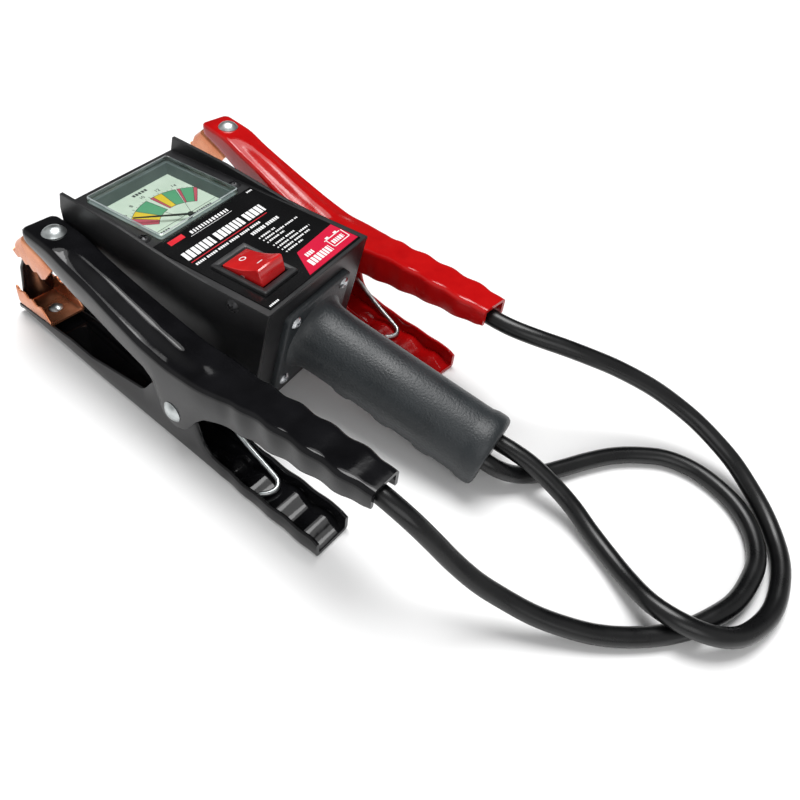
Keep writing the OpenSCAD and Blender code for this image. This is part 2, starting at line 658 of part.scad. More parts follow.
front_cover();
back_cover();
face_screws();
side_screws();
face_label();
label_badge();
meter_case();
meter_dial();
meter_mask();
meter_needle();
meter_movement();
meter_studs();
meter_window();
switch_body();
switch_rocker();
switch_pin();
switch_terminals();
load_element();
ceramic_posts();
bus_bars();
inner_leads();
handle_grip();
flange_screws();
cable_bush();
black_cable();
red_cable();
black_upper_arm();
black_lower_arm();
black_upper_jaw();
black_lower_jaw();
black_pivot_rivet();
black_spring();
black_jaw_rivet();
black_floor_rivet();
black_cable_crimp();
red_upper_arm();
red_lower_arm();
red_upper_jaw();
red_lower_jaw();
red_pivot_rivet();
red_spring();
red_jaw_rivet();
red_floor_rivet();
red_cable_crimp();
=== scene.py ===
import json
import math
import bpy
import numpy as np
from mathutils import Matrix, Vector


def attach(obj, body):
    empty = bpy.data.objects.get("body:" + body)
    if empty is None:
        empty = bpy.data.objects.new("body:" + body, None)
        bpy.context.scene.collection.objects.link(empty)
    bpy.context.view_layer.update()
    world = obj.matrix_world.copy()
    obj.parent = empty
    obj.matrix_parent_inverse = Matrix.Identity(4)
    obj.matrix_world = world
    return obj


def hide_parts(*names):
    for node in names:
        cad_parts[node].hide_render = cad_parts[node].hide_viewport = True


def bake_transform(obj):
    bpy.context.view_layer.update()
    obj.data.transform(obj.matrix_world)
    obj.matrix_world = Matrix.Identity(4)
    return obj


# A hand-held battery tester with two clamp leads: looks, soft leads and fine shapes round the CAD frame

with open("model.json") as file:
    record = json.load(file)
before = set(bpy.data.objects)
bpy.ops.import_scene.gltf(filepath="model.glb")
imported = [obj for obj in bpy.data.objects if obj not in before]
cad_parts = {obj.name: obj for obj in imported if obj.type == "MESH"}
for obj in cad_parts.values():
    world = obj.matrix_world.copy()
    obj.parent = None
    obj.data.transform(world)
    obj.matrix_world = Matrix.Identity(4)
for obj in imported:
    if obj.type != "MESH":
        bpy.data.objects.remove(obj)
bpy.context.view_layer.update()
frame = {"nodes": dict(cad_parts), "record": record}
MM = 0.001

# Camera: place in the part's frame (m), its right, up and back directions, lens and shift
CAMERA_AT = Vector((-0.22556, -0.22146, 0.29099))
RIGHT = Vector((0.4779, -0.8784, 0))
UP = Vector((0.5809, 0.3161, 0.7501))
BACK = Vector((-0.6589, -0.3585, 0.6613))
ROLL = math.radians(6.551)
LENS, SENSOR_WIDTH = 33.74, 36
SHIFT_X, SHIFT_Y = 0.0252, -0.1001

# Housing, meter, switch, handle and clamps, in mm. METER is x0, y0, x1, y1; DIAL_BAND is the coloured
# band's two radii; CLAMPS holds each pivot's place and each clamp's turn in degrees.
FACE_Z = 75
LABEL_TOP = 75.5
BADGE_TOP = 75.75
REAR_Y = -65.5
METER = (-27.8, 8.1, 27.8, 59.9)
DIAL_Z = 70
DIAL_CENTRE = (0, 12)
DIAL_BAND = (18.5, 32)
DIAL_SPREAD = 50
SWITCH = (-17.9, -40.4)
BEZEL = (23.2, 32.6)
ROCKER_Z = 76
GRIP_R, GRIP_Z = 17.6, 37.4
LEAN = math.radians(10)
PIVOT_Z = 25.5
CLAMPS = {"black": ((-61.3, -38.4), 6.8), "red": ((65.7, -27.4), 12)}

# Cord routes, in mm, from the handle to the clamp
CORD_D = 8.4
BLACK_ROUTE = [
    (-5, -156.5, 18.5), (-5, -164.5, 17.1), (-2, -171.5, 13), (4.5, -179, 8.2), (14.5, -187.5, 4.9),
    (25.5, -195.5, 4.3), (36.5, -203.5, 4.3), (47, -212.5, 4.3), (55.5, -223, 4.3), (62, -235, 4.3),
    (63.5, -248.5, 4.3), (60, -262, 4.3), (53, -273.5, 4.3), (42.5, -282, 4.3), (29.5, -286.5, 4.3),
    (16, -286, 4.3), (2.5, -283, 4.3), (-9.5, -277, 4.3), (-21, -269.5, 4.3), (-31, -260, 4.3),
    (-39.5, -249.5, 4.6), (-47, -238, 6), (-53, -226, 8.8), (-58, -214, 12.6), (-62, -202, 18),
    (-66, -191, 25), (-69, -180.5, 33.5), (-71.5, -171.5, 42.5), (-74, -161.5, 51.5), (-74.6, -149, 56.8),
    (-73, -136, 57.2), (-71.2, -121.8, 57)
]
RED_ROUTE = [
    (6.6, -157, 21.6), (6.6, -165, 20.2), (6.6, -173, 19.4), (6.5, -183, 17.4), (5, -195.5, 13.6),
    (2, -207.5, 9.8), (-3.5, -219, 7), (-10, -230.5, 6.4), (-17, -241, 8), (-24, -252, 11.4),
    (-26.5, -264.5, 13.4), (-23, -277, 11.4), (-15, -287, 8), (-4, -293.5, 5.6), (8.5, -297.5, 4.4),
    (21.5, -298, 4.3), (34.5, -296, 4.3), (46.5, -291, 4.4), (57, -283, 6.4), (65, -273.5, 9.4),
    (71.5, -263, 13.2), (75, -251, 18), (76, -239.5, 23.2), (74.5, -227.5, 29), (71, -216.5, 35),
    (66, -206, 40.7), (60.5, -195, 45.9), (54.5, -184.5, 50.4), (49, -173, 54), (44.5, -161, 56.2),
    (42, -148, 57.2), (42.5, -136.9, 57.4), (45.3, -123.2, 57.2), (48.2, -109.6, 57)
]


# ---- materials ----

NOISE_SPAN = (0.3, 0.7)


def surface(name, dark, light, rough, metal=0.0, scale=60, grain=1800, bump=0.1, depth=0.0001,
            ior=1.5, coat=0.0, edge=0.0):
    """Principled material whose colour and roughness vary with soft noise, with a fine grain bump.

    rough is the roughness of the dark and of the light patches, and edge the radius of worn edges.
    """
    m = bpy.data.materials.new(name)
    m.use_nodes = True
    nt = m.node_tree
    p = nt.nodes["Principled BSDF"]
    p.inputs["Metallic"].default_value = metal
    p.inputs["IOR"].default_value = ior
    p.inputs["Coat Weight"].default_value = coat
    p.inputs["Coat Roughness"].default_value = 0.08
    where = nt.nodes.new("ShaderNodeTexCoord")
    soft = nt.nodes.new("ShaderNodeTexNoise")
    soft.inputs["Scale"].default_value = scale
    soft.inputs["Detail"].default_value = 5
    nt.links.new(where.outputs["Object"], soft.inputs["Vector"])
    ramp = nt.nodes.new("ShaderNodeValToRGB")
    ramp.color_ramp.elements[0].position = NOISE_SPAN[0]
    ramp.color_ramp.elements[1].position = NOISE_SPAN[1]
    ramp.color_ramp.elements[0].color = (*dark, 1)
    ramp.color_ramp.elements[1].color = (*light, 1)
    nt.links.new(soft.outputs["Fac"], ramp.inputs["Fac"])
    nt.links.new(ramp.outputs["Color"], p.inputs["Base Color"])
    span = nt.nodes.new("ShaderNodeMapRange")
    span.inputs["From Min"].default_value = NOISE_SPAN[0]
    span.inputs["From Max"].default_value = NOISE_SPAN[1]
    span.inputs["To Min"].default_value = rough[0]
    span.inputs["To Max"].default_value = rough[1]
    nt.links.new(soft.outputs["Fac"], span.inputs["Value"])
    nt.links.new(span.outputs["Result"], p.inputs["Roughness"])
    fine = nt.nodes.new("ShaderNodeTexNoise")
    fine.inputs["Scale"].default_value = grain
    fine.inputs["Detail"].default_value = 3
    nt.links.new(where.outputs["Object"], fine.inputs["Vector"])
    relief = nt.nodes.new("ShaderNodeBump")
    relief.inputs["Strength"].default_value = bump
    relief.inputs["Distance"].default_value = depth
    nt.links.new(fine.outputs["Fac"], relief.inputs["Height"])
    if edge:
        bevel = nt.nodes.new("ShaderNodeBevel")
        bevel.samples = 4
        bevel.inputs["Radius"].default_value = edge
        nt.links.new(bevel.outputs["Normal"], relief.inputs["Normal"])
    nt.links.new(relief.outputs["Normal"], p.inputs["Normal"])
    return m


def clear(name, tint, weight):
    """Thin clear plastic: mostly transparent, with a sharp reflection and faint smudges."""
    m = bpy.data.materials.new(name)
    m.use_nodes = True
    nt = m.node_tree
    nt.nodes.remove(nt.nodes["Principled BSDF"])
    out = nt.nodes["Material Output"]
    through = nt.nodes.new("ShaderNodeBsdfTransparent")
    through.inputs["Color"].default_value = (*tint, 1)
    shine = nt.nodes.new("ShaderNodeBsdfGlossy")
    shine.inputs["Roughness"].default_value = 0.06
    fresnel = nt.nodes.new("ShaderNodeFresnel")
    fresnel.inputs["IOR"].default_value = 1.45
    where = nt.nodes.new("ShaderNodeTexCoord")
    smudge = nt.nodes.new("ShaderNodeTexNoise")
    smudge.inputs["Scale"].default_value = 45
    nt.links.new(where.outputs["Object"], smudge.inputs["Vector"])
    faint = nt.nodes.new("ShaderNodeMath")
    faint.operation = "MULTIPLY_ADD"
    faint.inputs[1].default_value = weight
    nt.links.new(smudge.outputs["Fac"], faint.inputs[0])
    nt.links.new(fresnel.outputs["Fac"], faint.inputs[2])
    mix = nt.nodes.new("ShaderNodeMixShader")
    nt.links.new(faint.outputs["Value"], mix.inputs["Fac"])
    nt.links.new(through.outputs["BSDF"], mix.inputs[1])
    nt.links.new(shine.outputs["BSDF"], mix.inputs[2])
    nt.links.new(mix.outputs["Shader"], out.inputs["Surface"])
    return m


PINK, YELLOW, GREEN = (0.52, 0.07, 0.11), (0.75, 0.52, 0.02), (0.09, 0.33, 0.17)
PAPER = (0.6, 0.68, 0.58)
# Where each colour starts along the band, from 0 at -DIAL_SPREAD degrees to 1 at +DIAL_SPREAD
BAND_STOPS = [
    (0, PAPER), (0.02, PINK), (0.13, YELLOW), (0.25, GREEN), (0.44, PAPER), (0.49, PINK), (0.525, YELLOW),
    (0.62, GREEN), (0.76, PAPER), (0.775, PINK), (0.805, GREEN), (0.93, PINK), (0.97, PAPER)
]


def dial_material():
    """Printed dial: coloured bands by angle between two radii, on slightly uneven pale paint."""
    m = surface("dial_paper", (0.56, 0.64, 0.54), (0.63, 0.7, 0.6), (0.35, 0.5), scale=120, bump=0.03)
    nt = m.node_tree
    p = nt.nodes["Principled BSDF"]
    paper = next(n for n in nt.nodes if n.type == "VALTORGB")
    where = next(n for n in nt.nodes if n.type == "TEX_COORD")
    shift = nt.nodes.new("ShaderNodeVectorMath")
    shift.operation = "SUBTRACT"
    shift.inputs[1].default_value = (DIAL_CENTRE[0] * MM, DIAL_CENTRE[1] * MM, DIAL_Z * MM)
    nt.links.new(where.outputs["Object"], shift.inputs[0])
    split = nt.nodes.new("ShaderNodeSeparateXYZ")
    nt.links.new(shift.outputs["Vector"], split.inputs["Vector"])
    turn = nt.nodes.new("ShaderNodeMath")
    turn.operation = "ARCTAN2"
    nt.links.new(split.outputs["X"], turn.inputs[0])
    nt.links.new(split.outputs["Y"], turn.inputs[1])
    spread = nt.nodes.new("ShaderNodeMapRange")
    spread.inputs["From Min"].default_value = -math.radians(DIAL_SPREAD)
    spread.inputs["From Max"].default_value = math.radians(DIAL_SPREAD)
    nt.links.new(turn.outputs["Value"], spread.inputs["Value"])
    bands = nt.nodes.new("ShaderNodeValToRGB")
    ramp = bands.color_ramp
    ramp.interpolation = "CONSTANT"
    while len(ramp.elements) < len(BAND_STOPS):
        ramp.elements.new(0.5)
    # All the places come first, because the ramp sorts its stops whenever one moves
    for i, (at, colour) in enumerate(BAND_STOPS):
        ramp.elements[i].position = at
    for i, (at, colour) in enumerate(BAND_STOPS):
        ramp.elements[i].color = (*colour, 1)
    nt.links.new(spread.outputs["Result"], bands.inputs["Fac"])
    reach = nt.nodes.new("ShaderNodeVectorMath")
    reach.operation = "LENGTH"
    nt.links.new(shift.outputs["Vector"], reach.inputs[0])
    inside = nt.nodes.new("ShaderNodeMath")
    inside.operation = "COMPARE"
    inside.inputs[1].default_value = (DIAL_BAND[0] + DIAL_BAND[1]) / 2 * MM
    inside.inputs[2].default_value = (DIAL_BAND[1] - DIAL_BAND[0]) / 2 * MM
    nt.links.new(reach.outputs["Value"], inside.inputs[0])
    mix = nt.nodes.new("ShaderNodeMix")
    mix.data_type = "RGBA"
    nt.links.new(inside.outputs["Value"], mix.inputs["Factor"])
    nt.links.new(paper.outputs["Color"], mix.inputs[6])
    nt.links.new(bands.outputs["Color"], mix.inputs[7])
    nt.links.new(mix.outputs[2], p.inputs["Base Color"])
    return m


LOOKS = {
    "housing_paint": surface("housing_paint", (0.006, 0.006, 0.007), (0.010, 0.010, 0.011), (0.34, 0.46),
                             scale=40, grain=1500, bump=0.35, edge=0.0009),
    "dark_screw": surface("dark_screw", (0.012, 0.012, 0.013), (0.03, 0.03, 0.032), (0.25, 0.4), metal=0.4,
                          scale=500, edge=0.0002),
    "label_black": surface("label_black", (0.0018, 0.0018, 0.002), (0.003, 0.003, 0.0035), (0.16, 0.24),
                           scale=25, bump=0.02),
    "label_red": surface("label_red", (0.5, 0.006, 0.035), (0.58, 0.01, 0.045), (0.2, 0.3), scale=30,
                         bump=0.02),
    "meter_grey": surface("meter_grey", (0.12, 0.15, 0.15), (0.16, 0.19, 0.19), (0.3, 0.45), scale=60,
                          bump=0.05),
    "dial_paper": dial_material(),
    "needle_red": surface("needle_red", (0.01, 0.01, 0.01), (0.02, 0.02, 0.02), (0.3, 0.4), scale=300),
    "plain_steel": surface("plain_steel", (0.35, 0.35, 0.36), (0.5, 0.5, 0.52), (0.3, 0.45), metal=1,
                           scale=200),
    "brass": surface("brass", (0.55, 0.38, 0.12), (0.75, 0.55, 0.22), (0.25, 0.4), metal=1, scale=200),
    "clear_cover": clear("clear_cover", (0.93, 0.97, 0.96), 0.05),
    "switch_black": surface("switch_black", (0.014, 0.014, 0.015), (0.024, 0.024, 0.025), (0.3, 0.42),
                            scale=80, grain=2500, bump=0.12, edge=0.0003),
    "rocker_red": surface("rocker_red", (0.4, 0.006, 0.008), (0.54, 0.014, 0.014), (0.1, 0.18), scale=70,
                          bump=0.03, coat=0.3),
    "element_alloy": surface("element_alloy", (0.2, 0.16, 0.14), (0.4, 0.36, 0.33), (0.4, 0.6), metal=1,
                             scale=150),
    "ceramic_white": surface("ceramic_white", (0.7, 0.68, 0.62), (0.8, 0.78, 0.72), (0.6, 0.8), scale=90),
    "copper": surface("copper", (0.5, 0.15, 0.06), (0.74, 0.33, 0.18), (0.2, 0.38), metal=0.8, scale=70,
                      grain=500, bump=0.15),
    "cable_rubber": surface("cable_rubber", (0.0025, 0.0026, 0.003), (0.0045, 0.0047, 0.005), (0.24, 0.34),
                            scale=90, grain=1400, bump=0.06, ior=1.42),
    "handle_plastic": surface("handle_plastic", (0.009, 0.012, 0.014), (0.014, 0.018, 0.021), (0.4, 0.52),
                              scale=50, grain=900, bump=0.75, depth=0.0003),
    "bright_screw": surface("bright_screw", (0.5, 0.52, 0.54), (0.72, 0.73, 0.75), (0.18, 0.34), metal=1,
                            scale=400, edge=0.0002),
    "pvc_black": surface("pvc_black", (0.003, 0.003, 0.0035), (0.006, 0.006, 0.007), (0.05, 0.12), scale=70,
                         grain=260, bump=0.06, depth=0.0004, ior=1.34),
    "pvc_red": surface("pvc_red", (0.36, 0.002, 0.003), (0.45, 0.004, 0.004), (0.08, 0.18), scale=70,
                       grain=260, bump=0.06, depth=0.0004, ior=1.45),
    "zinc": surface("zinc", (0.42, 0.45, 0.45), (0.6, 0.63, 0.63), (0.28, 0.42), metal=1, scale=300,
                    grain=900, bump=0.06, edge=0.0002),
}
PRINT_WHITE = surface("print_white", (0.7, 0.7, 0.7), (0.82, 0.82, 0.82), (0.3, 0.4), scale=200, bump=0.02)
PRINT_RED = surface("print_red", (0.55, 0.01, 0.02), (0.65, 0.015, 0.03), (0.3, 0.4), scale=200, bump=0.02)
PRINT_DARK = surface("print_dark", (0.02, 0.025, 0.025), (0.04, 0.045, 0.045), (0.4, 0.5), scale=200,
                     bump=0.02)
# Opaque grey for the clear lid's rim and foot: a painted highlight in place of the whitish edges of clear
# plastic
RIM_HIGHLIGHT = surface("clear_rim_painted_highlight", (0.2, 0.23, 0.23), (0.34, 0.38, 0.38), (0.08, 0.2), scale=140, bump=0.05, coat=0.5)

for part in frame["record"]["subparts"]:
    mesh = frame["nodes"][part["node"]].data
    mesh.materials.clear()
    mesh.materials.append(LOOKS[part["material_slot"]])


# ---- mesh tools: everything below is given in mm ----

class Shape:
    """Gathers vertices, faces and material picks of several shells."""

    def __init__(self):
        self.v, self.f, self.m = [], [], []

    def add(self, verts, faces, pick=0):
        at = len(self.v)
        self.v += [tuple(p) for p in verts]
        self.f += [tuple(i + at for i in f) for f in faces]
        self.m += [pick] * len(faces)

    def loft(self, rings, pick=0, caps=True):
        """Skin over closed rings of the same number of points."""
        n = len(rings[0])
        verts = [p for r in rings for p in r]
        faces = []
        for i in range(len(rings) - 1):
            for k in range(n):
                a, b = i * n + k, i * n + (k + 1) % n
                faces.append((a, b, b + n, a + n))
        if caps:
            faces.append(tuple(range(n - 1, -1, -1)))
            faces.append(tuple((len(rings) - 1) * n + k for k in range(n)))
        self.add(verts, faces, pick)

    def box(self, low, high):
        x, y, z = zip(low, high)
        v = [(x[i], y[j], z[k]) for i in (0, 1) for j in (0, 1) for k in (0, 1)]
        f = [(0, 1, 3, 2), (4, 6, 7, 5), (0, 4, 5, 1), (2, 3, 7, 6), (0, 2, 6, 4), (1, 5, 7, 3)]
        self.add(v, f)

    def patch(self, points, z0, z1, pick=0):
        """Thin raised print with a polygon outline in plan."""
        self.loft([[(x, y, z0) for x, y in points], [(x, y, z1) for x, y in points]], pick)


def build(name, shape, mats, body, replaces=(), sharp=35, place=None):
    """Mesh object from a Shape. It moves with a CAD body, unless body is None."""
    v = np.array(shape.v, float) * MM
    if place is not None:
        v = v @ np.array(place)[:3, :3].T + np.array(place)[:3, 3]
    me = bpy.data.meshes.new(name)
    me.from_pydata([tuple(p) for p in v], [], shape.f)
    for m in mats:
        me.materials.append(m)
    me.polygons.foreach_set("material_index", shape.m)
    me.validate()
    me.shade_smooth()
    me.set_sharp_from_angle(angle=math.radians(sharp))
    ob = bpy.data.objects.new(name, me)
    bpy.context.scene.collection.objects.link(ob)
    if body:
        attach(ob, body)
    if replaces:
        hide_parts(*replaces)
    return ob


def run_along(points):
    """Distance along a line at each of its points."""
    return np.r_[0, np.cumsum(np.linalg.norm(np.diff(points, axis=0), axis=1))]


def curve_points(points, step):
    """Catmull-Rom line through points, resampled evenly."""
    p = np.array(points, float)
    p = np.vstack([2 * p[0] - p[1], p, 2 * p[-1] - p[-2]])
    out = []
    for i in range(1, len(p) - 2):
        a, b, c, d = p[i - 1:i + 3]
        for u in np.linspace(0, 1, 12, endpoint=False):
            out.append(0.5 * (2 * b + u * (c - a) + u * u * (2 * a - 5 * b + 4 * c - d)
                              + u ** 3 * (3 * b - a - 3 * c + d)))
    out.append(p[-2])
    out = np.array(out)
    run = run_along(out)
    n = max(2, int(run[-1] / step) + 1)
    at = np.linspace(0, run[-1], n)
    return np.stack([np.interp(at, run, out[:, k]) for k in range(3)], -1)


def tube_rings(path, radius, sides):
    """Rings round a path, carried along it without twist."""
    t = np.gradient(path, axis=0)
    t /= np.linalg.norm(t, axis=1)[:, None]
    a = np.cross(t[0], (0, 0, 1) if abs(t[0][2]) < 0.9 else (1, 0, 0))
    rings = []
    for p, d in zip(path, t):
        a = a - (a @ d) * d
        a /= np.linalg.norm(a)
        b = np.cross(d, a)
        rings.append([p + radius * (math.cos(q) * a + math.sin(q) * b)
                      for q in np.linspace(0, 2 * math.pi, sides, endpoint=False)])
    return rings


CORNER_STEPS = 5
RECT_POINTS = 4 * (CORNER_STEPS + 1)


def rounded_rect(x0, y0, x1, y1, r, z):
    """Level loop of RECT_POINTS points round a rectangle with round corners."""
    out = []
    corners = ((x1 - r, y1 - r, 0), (x0 + r, y1 - r, 90), (x0 + r, y0 + r, 180), (x1 - r, y0 + r, 270))
    for cx, cy, start in corners:
        for k in range(CORNER_STEPS + 1):
            q = math.radians(start + 90 * k / CORNER_STEPS)
            out.append((cx + r * math.cos(q), cy + r * math.sin(q), z))
    return out


def smoothed(points, width):
    """Function of s through (s, value) points, softened by a bell of this width."""
    step, side, margin = 0.5, 20, 20
    s0, v0 = np.array(points, float).T
    s = np.arange(s0.min() - margin, s0.max() + margin, step)
    v = np.interp(s, s0, v0)
    bell = np.exp(-0.5 * (np.arange(-side, side + 1) * step / width) ** 2)
    v = np.convolve(np.pad(v, side, mode="edge"), bell / bell.sum(), "valid")
    return lambda x: float(np.interp(x, s, v))


def channel_ring(top, low, half, t, r, dome=0.0, inner=0.0):
    """Closed ring of a U section: top and low are (s, z) of the web and of the wall's edge.

    half is the half width, t the thickness, r the outer corner, dome the web's bulge and inner
    the extra thickness on the web's inside.
    """
    top, low = np.array(top, float), np.array(low, float)
    depth = np.linalg.norm(low - top)
    down = (low - top) / depth
    r = min(r, depth * 0.7)
    ri = max(r - t, 0.25)
    flat = np.linspace(-half + r, half - r, 13)[1:-1]
    hump = [dome * (0.5 + 0.5 * math.cos(math.pi * min(1, abs(x) / (0.8 * half)))) for x in flat]
    arc = [math.radians(a) for a in (0, 22.5, 45, 67.5, 90)]
    outer = [(-half, depth), (-half, (depth + r) / 2)]
    outer += [(-half + r - r * math.cos(a), r - r * math.sin(a)) for a in arc]
    outer += [(x, -h) for x, h in zip(flat, hump)]
    outer += [(-x, h) for x, h in outer[6::-1]]
    edge = [(half - 0.1 * t, depth + 0.35 * t), (half - 0.5 * t, depth + 0.55 * t),
            (half - 0.9 * t, depth + 0.35 * t)]
    inside = [(half - t, depth), (half - t, (depth + r) / 2)]
    inside += [(half - t - ri + ri * math.cos(a), t + ri - ri * math.sin(a) + inner * math.sin(a))
               for a in arc]
    inside += [(x * (half - t - ri) / (half - r), t - h + inner) for x, h in zip(flat[::-1], hump[::-1])]
    inside += [(-x, h) for x, h in inside[6::-1]]
    section = outer + edge + inside + [(-x, h) for x, h in edge[::-1]]
    return [(x, *(top + down * h)) for x, h in section]


# ---- floor, light and camera ----

FLOOR_HALF = 4000
FLOOR_PAPER = surface("floor_paper", (0.86, 0.86, 0.86), (0.88, 0.88, 0.88), (0.75, 0.85), scale=3, bump=0.01)
floor_sheet = Shape()
floor_sheet.add([(-FLOOR_HALF, -FLOOR_HALF, 0), (FLOOR_HALF, -FLOOR_HALF, 0), (FLOOR_HALF, FLOOR_HALF, 0),
                 (-FLOOR_HALF, FLOOR_HALF, 0)], [(0, 1, 2, 3)])
build("floor", floor_sheet, [FLOOR_PAPER], None)


def place_light(name, data, direction, at=(0, 0, 0)):
    """Puts a light into the scene, shining along a direction."""
    ob = bpy.data.objects.new(name, data)
    bpy.context.scene.collection.objects.link(ob)
    ob.location = at
    ob.rotation_euler = direction.to_track_quat("-Z", "Y").to_euler()


def area_light(name, at, aim, size, power):
    """Rectangular soft light. Places and sizes are in metres."""
    data = bpy.data.lights.new(name, "AREA")
    data.shape = "RECTANGLE"
    data.size, data.size_y = size
    data.energy = power
    place_light(name, data, Vector(aim) - Vector(at), at)


area_light("softbox", at=(0.25, 0.15, 1.5), aim=(0, -0.08, 0), size=(0.8, 0.8), power=18)
area_light("side_fill", at=(-1.1, -0.9, 0.9), aim=(0, 0, 0.03), size=(1.4, 0.9), power=7)

sun = bpy.data.lights.new("wide_light", "SUN")
sun.energy = 1.1
sun.angle = math.radians(40)
place_light("wide_light", sun, Vector((-0.3, -0.18, -1)))

# Pale surroundings with a dark screen far off beyond the meter end, so glossy tops read black.
# Between the two cosines from DARK_TOWARDS the strength falls from the pale to the dark value.
DARK_TOWARDS = Vector((0.80, 0.43, 0.42))
SCREEN_COSINES = (0.3, 0.8)
PALE, DARK = 0.5, 0.04
world = bpy.data.worlds.new("studio")
world.use_nodes = True
wt = world.node_tree
sky = wt.nodes["Background"]
sky.inputs["Color"].default_value = (1, 1, 1, 1)
where = wt.nodes.new("ShaderNodeTexCoord")
facing = wt.nodes.new("ShaderNodeVectorMath")
facing.operation = "DOT_PRODUCT"
facing.inputs[1].default_value = DARK_TOWARDS
wt.links.new(where.outputs["Generated"], facing.inputs[0])
level = wt.nodes.new("ShaderNodeMapRange")
level.interpolation_type = "SMOOTHSTEP"
level.inputs["From Min"].default_value = SCREEN_COSINES[0]
level.inputs["From Max"].default_value = SCREEN_COSINES[1]
level.inputs["To Min"].default_value = PALE
level.inputs["To Max"].default_value = DARK
wt.links.new(facing.outputs["Value"], level.inputs["Value"])
wt.links.new(level.outputs["Result"], sky.inputs["Strength"])
bpy.context.scene.world = world
bpy.context.scene.view_settings.view_transform = "Standard"

cam_data = bpy.data.cameras.new("camera")
cam_data.lens = LENS
cam_data.sensor_width = SENSOR_WIDTH
cam_data.shift_x = SHIFT_X
cam_data.shift_y = SHIFT_Y
cam_data.clip_start = 0.01
cam = bpy.data.objects.new("camera", cam_data)
bpy.context.scene.collection.objects.link(cam)
right = math.cos(ROLL) * RIGHT + math.sin(ROLL) * UP
up = -math.sin(ROLL) * RIGHT + math.cos(ROLL) * UP
cam.matrix_world = Matrix.Translation(CAMERA_AT) @ Matrix((right, up, BACK)).transposed().to_4x4()
bpy.context.scene.camera = cam

# ---- cords ----

CORD_STEP, CORD_SIDES = 3.5, 24
LOWEST = CORD_D / 2 + 0.05
# Two points for each cord, between which it would go from staying with the housing to following its clamp's
# grip
BLACK_GIVE = ((66.1, -103.4, -20.6), (38.8, -60.7, -12.1))
RED_GIVE = ((-59.7, -86.3, -37.1), (-29.6, -42.7, -18.4))

for name, route, give in (("black", BLACK_ROUTE, BLACK_GIVE), ("red", RED_ROUTE, RED_GIVE)):
    line = curve_points(route, CORD_STEP)
    line[:, 2] = np.maximum(line[:, 2], LOWEST)
    cord = Shape()
    cord.loft(tube_rings(line, CORD_D / 2, CORD_SIDES))
    ob = build(name + "_cord", cord, [LOOKS["cable_rubber"]], None, [name + "_cable"])
    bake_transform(ob)

# ---- clamps: x across, s forward from the pivot, z up from the table ----

PVC_T = 1.8
FINE, MEDIUM, COARSE = 1.0, 1.5, 2.0

# Upper arm against s: its top, its lower edge, its half width and the bulge along its top
TOP = [(-112, 66), (-96, 65), (-78, 63.6), (-60, 62), (-43, 59.6), (-23, 55.8), (0, 53.2), (20, 55),
       (41, 59), (54, 61.8), (75, 65.8), (87, 69.2), (108, 69.4)]
EDGE = [(-112, 57.6), (-108, 56), (-80, 51.2), (-63, 47.6), (-45, 43.6), (-31, 41.5), (-22, 37.5),
        (-17, 32.5), (-13, 26.5), (-9.5, 21.5), (-6.4, 19), (-3, 17.2), (0, 16.7), (3, 17.2), (6.4, 19),
        (8.6, 23), (10, 30), (12, 38), (18, 42.3), (42, 46), (71, 51.6), (84, 56.4), (95, 60.2), (112, 64.2)]
HALF = [(-112, 7.9), (-101, 9.1), (-42, 9.4), (-18, 12.2), (20, 12.2), (58, 10.4), (133, 9.9)]
HUMP = [(-22, 0), (-10, 2.2), (15, 2.9), (55, 3), (76, 2), (86, 0)]
UPPER_STOPS = np.r_[np.arange(-112, -24, MEDIUM), np.arange(-24, 22, FINE), np.arange(22, 109, COARSE)]
UPPER_CORNER = 2.6

# The arm's rounded nose: top (s, z), lower edge (s, z) and half width of each section
NOSE = [((109.4, 69.1), (108.6, 63.6), 9.7), ((110.6, 68.9), (109.4, 63.8), 9.2),
        ((111.5, 68.4), (109.9, 63.9), 8.5), ((111.95, 67.4), (110.1, 64), 7.9),
        ((112, 66), (110.3, 64), 7.6), ((112, 64.7), (110.6, 64.1), 7.6)]
NOSE_CORNER = 2.4

# The tongue that hangs from the nose down to the lower jaw: its front (s, z) and back (s, z)
BEAK = [((111, 68), (109.2, 68)), ((111, 63.9), (109.2, 63.9)), ((112.4, 58.4), (110.7, 57.8)),
        ((118, 50), (116.4, 49.1)), ((121.5, 44), (119.9, 43)), ((125.6, 37.5), (123.9, 36.9)),
        ((133.2, 9.4), (131.4, 9))]
BEAK_HALF = 8.8
BEAK_SIDE = [(BEAK_HALF - 0.5, 0), (BEAK_HALF, 0.28), (BEAK_HALF, 0.72), (BEAK_HALF - 0.5, 1)]

# Lower arm against s: its upper edge, its underside and its half width, and the lip across its front
LOW_EDGE = [(-89, 8), (-86, 9.8), (-67, 9.2), (-45, 8), (-23, 9.5), (-17, 14), (-13, 27), (-7, 34.5), (0, 35),
            (9, 34.5), (17, 30), (25, 19), (52, 13.6), (68, 10.2), (86, 10.6), (104, 8.6), (136, 5.9)]
LOW_BASE = [(-89, 0.05), (60, 0.05), (136, 3)]
LOW_HALF = [(-89, 10.3), (-50, 10.3), (-22, 9.9), (24, 9.9), (60, 10), (137, 9.9)]
LOWER_STOPS = np.r_[np.arange(-89, -24, MEDIUM), np.arange(-24, 30, FINE), np.arange(30, 135.5, 2.5), 135.4]
LOWER_CORNER = 2.2
FRONT_LIP = ((-9.7, 134.6, 3.4), (9.7, 136.9, 5.8))

